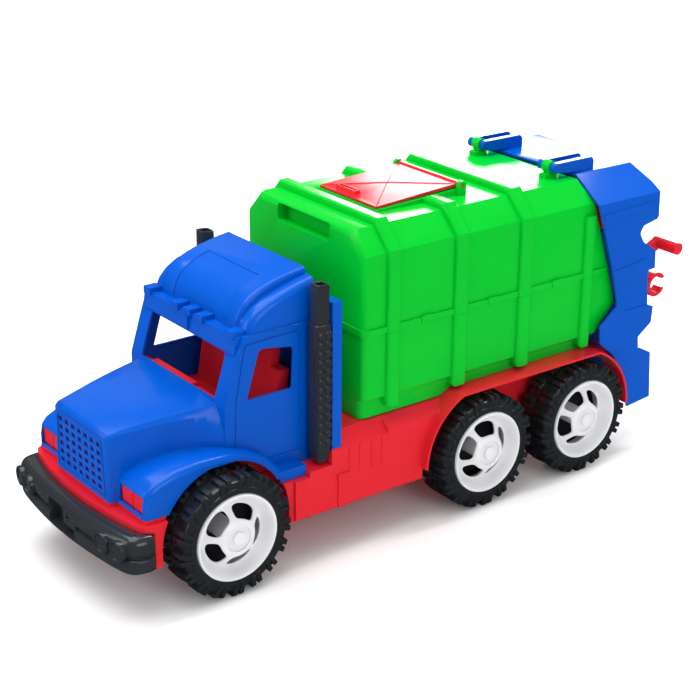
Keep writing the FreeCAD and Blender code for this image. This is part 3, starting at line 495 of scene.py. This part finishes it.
tyre_faces = [make_tyre(row, side) for row in WHEEL_TURNS for side in SIDES]
print("tyres", len(tyre_faces), "with", tyre_faces[0], "quads each")

# %% [markdown]
# The wheel is a deep dish: a flat flange, a bowl, and a cone that rises back to a
# raised boss.  Five rounded windows pierce the cone.  Round each window the cone
# is a ring of quads between the window's outline and the edge of its fifth of the
# circle, so that neighbouring fifths share their points and weld without a seam.

# %% The dished rim
WINDOWS = 5
WINDOW_POINTS = 64
DISC_IN, DISC_OUT = 17.0, 33.4
WINDOW_MIDDLE, WINDOW_DEPTH, WINDOW_REACH = 25.2, 6.3, math.radians(28.5)
WINDOW_SQUARENESS = 3.4
DISC_THICK = 2.4
CONE_RADII = (14.0, 17.0, 18.5, 20.0, 30.0, 31.5, 33.4, 36.0)
CONE_DEPTHS = (126.6, 126.2, 125.2, 124.0, 115.6, 114.6, 114.0, 114.0)
RING_SHARES = (1.0, 0.8, 0.6, 0.4, 0.25, 0.1, 0.03, 0.0, 0.0, 0.03, 0.1, 0.4, 0.7, 1.0)
RING_SUNK = (0, 0, 0, 0, 0, 0, 0.25, 0.7, DISC_THICK - 0.7, DISC_THICK - 0.25) + (DISC_THICK,) * 4
RIM_OUTSIDE = [
    (111.6, 33.4), (111.4, 36.4), (100.6, 36.6), (100.0, 37.0), (100.0, 39.6), (100.4, 40.0),
    (119.0, 40.0), (119.3, 40.3), (119.3, 43.6), (119.7, 44.0), (124.9, 44.0), (125.5, 43.7),
    (125.7, 43.2), (125.6, 42.4), (125.2, 41.7), (123.4, 40.4), (120.6, 38.9), (117.6, 37.2),
    (115.4, 35.4), (114.4, 34.3), (114.0, 33.4),
]
RIM_BOSS = [
    (126.2, 17.0), (126.9, 15.8), (127.0, 15.0), (127.0, 13.6), (126.8, 13.2), (125.3, 12.9),
    (125.2, 12.4), (125.2, 3.3), (80.2, 3.3), (80.0, 3.6), (80.0, 10.0), (80.4, 10.5),
    (123.2, 10.5), (123.8, 17.0),
]


def cone_depth(radius):
    """Place along the axle of the cone's outer face, as a function of radius."""
    return np.interp(radius, CONE_RADII, CONE_DEPTHS)


def window_ring():
    """Angle, radius and depth of one fifth of the cone, from its edge to the window and back.

    A point is the mix, by share, of a superellipse for the window and the box of
    the fifth of the circle in the same direction.  It lies below the cone's outer
    face by its ring's entry in RING_SUNK.
    """
    phi = circle(WINDOW_POINTS)
    across, along = np.cos(phi), np.sin(phi)
    power = 2.0 / WINDOW_SQUARENESS
    hole_angle = WINDOW_REACH * np.sign(across) * np.abs(across) ** power
    hole_radius = WINDOW_MIDDLE + WINDOW_DEPTH * np.sign(along) * np.abs(along) ** power
    reach = np.maximum(np.abs(across), np.abs(along))
    edge_angle = math.pi / WINDOWS * across / reach
    middle, half = (DISC_OUT + DISC_IN) / 2, (DISC_OUT - DISC_IN) / 2
    edge_radius = middle + half * along / reach
    share = np.array(RING_SHARES)[:, None]
    sunk = np.array(RING_SUNK)[:, None]
    angle = hole_angle + (edge_angle - hole_angle) * share
    radius = hole_radius + (edge_radius - hole_radius) * share
    return angle, radius, cone_depth(radius) - sunk


def edge_angles():
    """Angles round the whole wheel at which the fifths' outer edges have points."""
    phi = circle(WINDOW_POINTS)
    on_top = np.sin(phi) >= np.abs(np.cos(phi)) - 1e-9
    fifth = np.sort(math.pi / WINDOWS * np.cos(phi[on_top]) / np.sin(phi[on_top]))[:-1]
    return (circle(WINDOWS)[:, None] + fifth).ravel()


def make_rim(row, side):
    """Outside loop, boss loop and five window rings, welded into one closed mesh."""
    centre, sign = wheel_place(row, side)
    turn = math.radians(WHEEL_TURNS[row])
    points, faces, count = [], [], 0
    for profile in (RIM_OUTSIDE, RIM_BOSS):
        station = np.array(profile)
        ring = turned(station[:, :1], station[:, 1:], edge_angles() + turn, centre, sign)
        points.append(ring.reshape(-1, 3))
        faces.append(grid_faces(ring.shape[0], ring.shape[1], count))
        count += len(points[-1])
    angle, radius, depth = window_ring()
    for fifth in circle(WINDOWS):
        ring = turned(depth, radius, angle + turn + fifth, centre, sign)
        points.append(ring.reshape(-1, 3))
        faces.append(grid_faces(ring.shape[0], ring.shape[1], count)[:, ::-1])
        count += len(points[-1])
    points, faces = np.concatenate(points), np.concatenate(faces)
    wheel = row + "_" + side
    name = "rim_" + wheel
    make_piece(name + "_dish", points, faces, "wheel_" + wheel, "white_plastic", (name,), weld=0.02)


# %% The hub cap
CAP_PROFILE = [
    (125.3, 0.0), (125.3, 6.2), (125.3, 6.5), (127.7, 6.5), (128.2, 6.2), (128.45, 5.6),
    (128.55, 4.0), (128.6, 2.0), (128.6, 0.0),
]
CAP_SIDES = 40


def make_cap(row, side):
    """Low round button turned from a profile of (place along the axle, radius)."""
    centre, sign = wheel_place(row, side)
    profile = np.array(CAP_PROFILE)
    grid = turned(profile[:, :1], profile[:, 1:], circle(CAP_SIDES), centre, sign)
    points, faces = grid.reshape(-1, 3), grid_faces(*grid.shape[:2])
    wheel = row + "_" + side
    name = "hub_cap_" + wheel
    make_piece(name + "_button", points, faces, "wheel_" + wheel, "white_plastic", (name,), weld=0.01)


for row in WHEEL_TURNS:
    for side in SIDES:
        make_rim(row, side)
        make_cap(row, side)

# %% [markdown]
# Each exhaust is a squarish pipe with soft corners, a rounded foot, a guard that
# stands a little proud, and a mouth cut at a slant.  It is one section carried up
# a list of levels and back down inside the mouth; a level is a height and how far
# the sides stand out there from the plain pipe.  On its outer face are two columns
# of small domes, turned from a quarter circle.

# %% The exhausts and their domed studs
PIPE_MIDDLE = (99.75, -131.1)
PIPE_HALF = (7.25, 7.5)
PIPE_CORNER, LEAST_CORNER = 3.0, 0.6
CORNER_STEPS = 6
MOUTH_SLANT, SLANT_ABOVE = 0.0857, 246.0
GUARD_RISE = 1.4
PIPE_LEVELS = [
    (100.5, -5.0), (100.9, -3.4), (102.0, -1.8), (104.0, -0.7), (107.0, 0.0), (111.9, 0.0),
    (112.0, 0.9), (112.5, GUARD_RISE), (245.0, GUARD_RISE), (245.5, 0.9), (245.6, 0.0), (284.0, 0.0),
    (284.7, -0.2), (285.0, -0.7), (285.0, -1.7), (284.6, -2.2), (252.0, -2.4),
]
STUD_ROWS, STUD_PITCH, STUD_LOW = 13, 9.3, 123.0
STUD_COLUMNS = (-135.2, -127.0)
STUD_RADIUS, STUD_RISE, STUD_ROOT = 3.95, 1.6, -0.6
STUD_STEPS, STUD_SIDES = 6, 20


def soft_square(grow):
    """Outline of the pipe, its sides moved out by grow, with quarter circles at the corners."""
    corner = max(LEAST_CORNER, PIPE_CORNER + grow)
    turn = np.linspace(0.0, math.pi / 2, CORNER_STEPS)
    angle = (np.arange(4)[:, None] * math.pi / 2 + turn).ravel()
    signs = np.repeat([(1, 1), (-1, 1), (-1, -1), (1, -1)], CORNER_STEPS, axis=0)
    half = np.array(PIPE_HALF) + grow - corner
    return signs * half + corner * np.stack([np.cos(angle), np.sin(angle)], axis=-1)


def make_stack(side):
    """Pipe, then its studs, as closed surfaces in one mesh."""
    sign = SIDES[side]
    rings = []
    for z, grow in PIPE_LEVELS:
        outline = soft_square(grow) + PIPE_MIDDLE
        tilt = MOUTH_SLANT * (PIPE_MIDDLE[1] - outline[:, 1]) * (z > SLANT_ABOVE)
        rings.append(np.column_stack([outline, z + tilt]))
    grid = capped(rings)
    points, faces = [grid.reshape(-1, 3)], [grid_faces(*grid.shape[:2])]
    rise = np.linspace(0.0, math.pi / 2, STUD_STEPS)
    out = np.concatenate([[STUD_ROOT, STUD_ROOT], STUD_RISE * np.sin(rise)])[:, None]
    reach = np.concatenate([[0.0, STUD_RADIUS], STUD_RADIUS * np.cos(rise)])[:, None]
    turn = circle(STUD_SIDES)
    face = PIPE_MIDDLE[0] + PIPE_HALF[0] + GUARD_RISE
    dome = np.broadcast_arrays(face + out, reach * np.cos(turn), reach * np.sin(turn))
    dome = np.stack(dome, axis=-1)
    for row in range(STUD_ROWS):
        for y in STUD_COLUMNS:
            here = dome + (0.0, y, STUD_LOW + row * STUD_PITCH)
            faces.append(grid_faces(*here.shape[:2], sum(map(len, points))))
            points.append(here.reshape(-1, 3))
    points, faces = np.concatenate(points) * (sign, 1.0, 1.0), np.concatenate(faces)
    name = "stack_" + side
    make_piece(name + "_pipe", points, faces, "truck", "black_plastic", (name,), sharp=40.0)
    return len(points)


print("points on one exhaust", make_stack("left"), make_stack("right"))

# %% [markdown]
# The bumper is one bar that sweeps round the nose: a full upper roll, a deep
# groove and a lower roll.  Its plan is a line of corners whose edges are cut off
# again and again until the line is smooth.  A section is carried along that line,
# and between the two sides of the tow pocket the part of it between the pocket's
# floor and its roof stands further back.

# %% The bumper's bar
BUMPER_PLAN = [
    (0.0, -362.4), (20.0, -362.4), (60.0, -359.6), (99.0, -354.4), (111.0, -348.0),
    (114.0, -336.0), (114.0, -325.5),
]
PLAN_CUTS = 3
PLAN_TURNED_BACK = 113.9
BUMPER_DEPTH = ((0.0, 98.0, 112.0, 123.0, 134.0), (16.4, 19.0, 20.0, 15.0, 6.0))
BUMPER_SECTION = [
    (4.0, 0, 50.0), (2.2, 0, 50.6), (1.0, 0, 51.9), (0.3, 0, 54.0), (0.0, 0, 57.0), (0.0, 0, 61.0),
    (0.3, 0, 63.2), (1.2, 0, 64.6), (3.6, 0, 65.4), (3.6, 0, 68.6), (1.6, 0, 69.4), (0.5, 0, 71.0),
    (0.0, 0, 73.4), (0.0, 0, 75.6), (0.2, 0, 78.2), (0.9, 0, 80.6), (2.1, 0, 82.8), (3.8, 0, 84.6),
    (6.0, 0, 86.0), (9.0, 0, 86.8), (-1.0, 1, 87.0), (-0.3, 1, 86.7), (0.0, 1, 86.0), (0.0, 1, 51.0),
    (-0.3, 1, 50.3), (-1.0, 1, 50.0),
]
BUMPER_END = (0.8, 1.0, 0.95)
POCKET_HALF, POCKET_DEPTH, POCKET_STEP = 25.0, 11.0, 0.02
POCKET_FLOOR, POCKET_ROOF = 56.0, 79.0
FOOT_CORNERS = ((30.0, 60.0), (44.0, 60.0), (44.0, 80.0), (30.0, 80.0))
FOOT_ENDS = (-350.0, -335.0)


def cut_corners(line, times):
    """Replace every inner corner by points a quarter and three quarters along its runs."""
    for _ in range(times):
        quarter = line[:-1] * 0.75 + line[1:] * 0.25
        rest = line[:-1] * 0.25 + line[1:] * 0.75
        inner = np.stack([quarter, rest], axis=1).reshape(-1, 2)[1:-1]
        line = np.concatenate([line[:1], inner, line[-1:]])
    return line


def bumper_rings():
    """Section rings along the left half of the bar, from the middle to its end.

    A point of the section is (inset, share of the bar's depth, height), and
    BUMPER_DEPTH gives that depth against the length along the bar.  Two rings
    POCKET_STEP apart make the side of the tow pocket.
    """
    line = cut_corners(np.array(BUMPER_PLAN), PLAN_CUTS)
    ahead_of_end = line[:, 0] < PLAN_TURNED_BACK
    pocket_side = [POCKET_HALF, POCKET_HALF + POCKET_STEP]
    x = np.sort(np.concatenate([line[ahead_of_end, 0], pocket_side]))
    bend = np.column_stack([x, np.interp(x, line[:, 0], line[:, 1])])
    line = np.concatenate([bend, line[~ahead_of_end]])
    ahead = np.gradient(line, axis=0)
    ahead[0] = (1.0, 0.0)
    inwards = np.column_stack([-ahead[:, 1], ahead[:, 0]]) / np.linalg.norm(ahead, axis=1)[:, None]
    gone = np.concatenate([[0.0], np.cumsum(np.linalg.norm(np.diff(line, axis=0), axis=1))])
    start, share, height = np.array(BUMPER_SECTION).T
    hollow = (share == 0) & (height > POCKET_FLOOR) & (height < POCKET_ROOF)
    rings = []
    for place, side, along in zip(line, inwards, gone):
        inset = start + share * np.interp(along, *BUMPER_DEPTH)
        if place[0] <= POCKET_HALF:
            inset = np.where(hollow, POCKET_DEPTH, inset)
        rings.append(np.column_stack([place + inset[:, None] * side, height]))
    middle = rings[-1].mean(axis=0)
    rings[-1] = middle + (rings[-1] - middle) * BUMPER_END
    return rings


def make_bumper():
    """Both halves of the bar, and the two feet that hold it to the nose."""
    half = bumper_rings()
    mirror = [ring * (-1.0, 1.0, 1.0) for ring in half[:0:-1]]
    grid = capped(mirror + half)
    points, faces = [grid.reshape(-1, 3)], [grid_faces(*grid.shape[:2])]
    across, height = np.array(FOOT_CORNERS).T
    for sign in SIDES.values():
        ends = [np.column_stack([sign * across, np.full(4, y), height]) for y in FOOT_ENDS]
        foot = capped(ends)
        quads = grid_faces(*foot.shape[:2], sum(map(len, points)))
        faces.append(quads[:, ::-1] if sign > 0 else quads)
        points.append(foot.reshape(-1, 3))
    points, faces = np.concatenate(points), np.concatenate(faces)
    make_piece("bumper_bar", points, faces, "truck", "black_plastic", ("bumper",), sharp=40.0)
    return len(half)


print("bumper stations on each side", make_bumper())

# %% The tow tab in the pocket
TAB_LOW, TAB_HIGH = (2.0, 63.0), (26.0, 81.5)
TAB_FRONT, TAB_BACK = -361.0, -358.0
EYE_PLACE, EYE_RADIUS = (10.0, 72.0), 2.6
EYE_ROUND, TAB_ROUND = 0.5, 0.6
TAB_RINGS = [
    ("eye", EYE_ROUND, TAB_FRONT), ("outline", -TAB_ROUND, TAB_FRONT),
    ("outline", 0.0, TAB_FRONT + TAB_ROUND), ("outline", 0.0, TAB_BACK),
    ("eye", 0.0, TAB_BACK), ("eye", 0.0, TAB_FRONT + EYE_ROUND),
]
TAB_POINTS = 64


def make_tow_tab():
    """Flat plate as rings between its round eye and its square outline, front then back."""
    phi = circle(TAB_POINTS)
    heading = np.column_stack([np.cos(phi), np.sin(phi)])
    low, high = np.array(TAB_LOW), np.array(TAB_HIGH)
    square = heading / np.abs(heading).max(axis=1)[:, None]
    rings = []
    for kind, grow, y in TAB_RINGS:
        if kind == "eye":
            flat = np.array(EYE_PLACE) + heading * (EYE_RADIUS + grow)
        else:
            flat = (low + high) / 2 + square * ((high - low) / 2 + grow)
        rings.append(np.column_stack([flat[:, 0], np.full(TAB_POINTS, y), flat[:, 1]]))
    grid = np.stack(rings + rings[:1])
    points, faces = grid.reshape(-1, 3), grid_faces(*grid.shape[:2])
    make_piece("bumper_tow_tab", points, faces, "truck", "black_plastic")


make_tow_tab()

# %% [markdown]
# The bumper's four lamps are round discs with a raised rim.  Each is turned from a
# short profile and then set square to the bumper's face, which sweeps back a little
# towards the ends.

# %% Lamp discs on the bumper
LAMP_PROFILE = [
    (-2.0, 0.0), (-2.0, 10.3), (2.3, 10.3), (2.8, 10.1), (3.1, 9.7), (3.1, 9.1),
    (2.8, 8.7), (2.0, 8.5), (1.7, 8.1), (1.7, 0.0),
]
LAMP_PLACES = ((72.0, -357.9, 72.5), (95.5, -354.7, 72.5))
LAMP_SWEEP = math.radians(8.2)
LAMP_SIDES = 48


def make_lamp_disc(number, place, side):
    """Disc whose axis points forward and is swept outwards by LAMP_SWEEP."""
    profile = np.array(LAMP_PROFILE)
    angle = circle(LAMP_SIDES)
    out, across, up = profile[:, :1], profile[:, 1:] * np.cos(angle), profile[:, 1:] * np.sin(angle)
    x = place[0] + across * math.cos(LAMP_SWEEP) + out * math.sin(LAMP_SWEEP)
    y = place[1] + across * math.sin(LAMP_SWEEP) - out * math.cos(LAMP_SWEEP)
    grid = np.stack([SIDES[side] * x, y, place[2] + up], axis=-1)
    points, faces = grid.reshape(-1, 3), grid_faces(*grid.shape[:2])
    name = "bumper_lamp_" + str(number) + "_" + side
    make_piece(name, points, faces, "truck", "black_plastic")


for number, place in enumerate(LAMP_PLACES):
    for side in SIDES:
        make_lamp_disc(number, place, side)
print(2 * len(LAMP_PLACES), "lamp discs")

# %% [markdown]
# The hatch lid is stiffened by two crossed folds, and each fold is crowned by a
# thin bead.  A bead is a small round section carried from one corner of the lid
# over its peak to the opposite corner.

# %% Crossed beads on the hatch
FOLDS = [
    ((-45.0, -22.0, 327.1), (45.0, 76.0, 333.0)),
    ((45.0, -22.0, 327.1), (-45.0, 76.0, 333.0)),
]
FOLD_PEAK = (0.0, 27.0, 332.4)
BEAD_RADIUS = 0.65
BEAD_SIDES = 12


def make_bead(number, first, last):
    """Round section of radius BEAD_RADIUS along corner, peak and corner, closed at both ends."""
    line = np.array([first, first, FOLD_PEAK, last, last])
    run = line[3] - line[1]
    aside = np.array([run[1], -run[0], 0.0]) / math.hypot(run[0], run[1])
    up = np.array([0.0, 0.0, 1.0])
    angle = circle(BEAD_SIDES)[:, None]
    ring = BEAD_RADIUS * (np.cos(angle) * aside + np.sin(angle) * up)
    size = np.array([0.0, 1.0, 1.0, 1.0, 0.0])[:, None, None]
    grid = line[:, None, :] + ring * size
    points, faces = grid.reshape(-1, 3), grid_faces(*grid.shape[:2])
    make_piece("hatch_bead_" + str(number), points, faces, "hatch_lid", "red_plastic")


for number, (first, last) in enumerate(FOLDS):
    make_bead(number, first, last)

# %% [markdown]
# Every moulded edge on the toy is slightly round, and that thin round edge is
# what catches the light.  For the pieces whose shape is already right, a copy of
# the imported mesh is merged, its flat faces are joined, and a bevel rounds what is
# sharp.  Each is listed with its body, the width of the bevel in millimetres and
# the turn in degrees above which an edge counts as sharp.

# %% Rounded copies of the plain mouldings
ROUNDED = {
    "chassis": ("truck", 0.9, 28.0),
    "cab_shell": ("truck", 0.8, 33.0),
    "lamp_panel": ("truck", 0.3, 28.0),
    "seats": ("truck", 2.0, 28.0),
    "body_lower": ("truck", 1.0, 33.0),
    "body_upper": ("truck", 1.0, 33.0),
    "hatch": ("hatch_lid", 0.5, 28.0),
    "tailgate": ("tailgate_frame", 1.0, 28.0),
    "packer_plate": ("tailgate_frame", 0.6, 28.0),
    "crank": ("lifter_crank", 1.0, 28.0),
    "lifter": ("lifter_crank", 0.8, 28.0),
}
MERGE_WITHIN = 0.004
FLAT_DEGREES = 0.5
BEVEL_STEPS = 3


def round_edges(node, body, width, turn):
    """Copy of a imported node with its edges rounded.

    The copy is merged, its flat faces are joined, and a bevel of the given width
    rounds every edge that turns by more than turn degrees.
    """
    mesh = frame["nodes"][node].data.copy()
    mesh.name = node + "_moulding"
    work = bmesh.new()
    work.from_mesh(mesh)
    bmesh.ops.remove_doubles(work, verts=work.verts, dist=MERGE_WITHIN * MM)
    flat = math.radians(FLAT_DEGREES)
    bmesh.ops.dissolve_limit(work, angle_limit=flat, verts=work.verts, edges=work.edges)
    work.to_mesh(mesh)
    work.free()
    piece = bpy.data.objects.new(mesh.name, mesh)
    bpy.context.scene.collection.objects.link(piece)
    bevel = piece.modifiers.new("rounded edges", "BEVEL")
    bevel.width = width * MM
    bevel.segments = BEVEL_STEPS
    bevel.limit_method = "ANGLE"
    bevel.angle_limit = math.radians(turn)
    bevel.use_clamp_overlap = True
    bevel.harden_normals = True
    mesh.shade_smooth()
    mesh.set_sharp_from_angle(angle=math.radians(turn))
    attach(piece, body)
    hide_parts(node)
    return len(mesh.polygons)


for node, (body, width, turn) in ROUNDED.items():
    print(node, round_edges(node, body, width, turn), "faces before rounding")
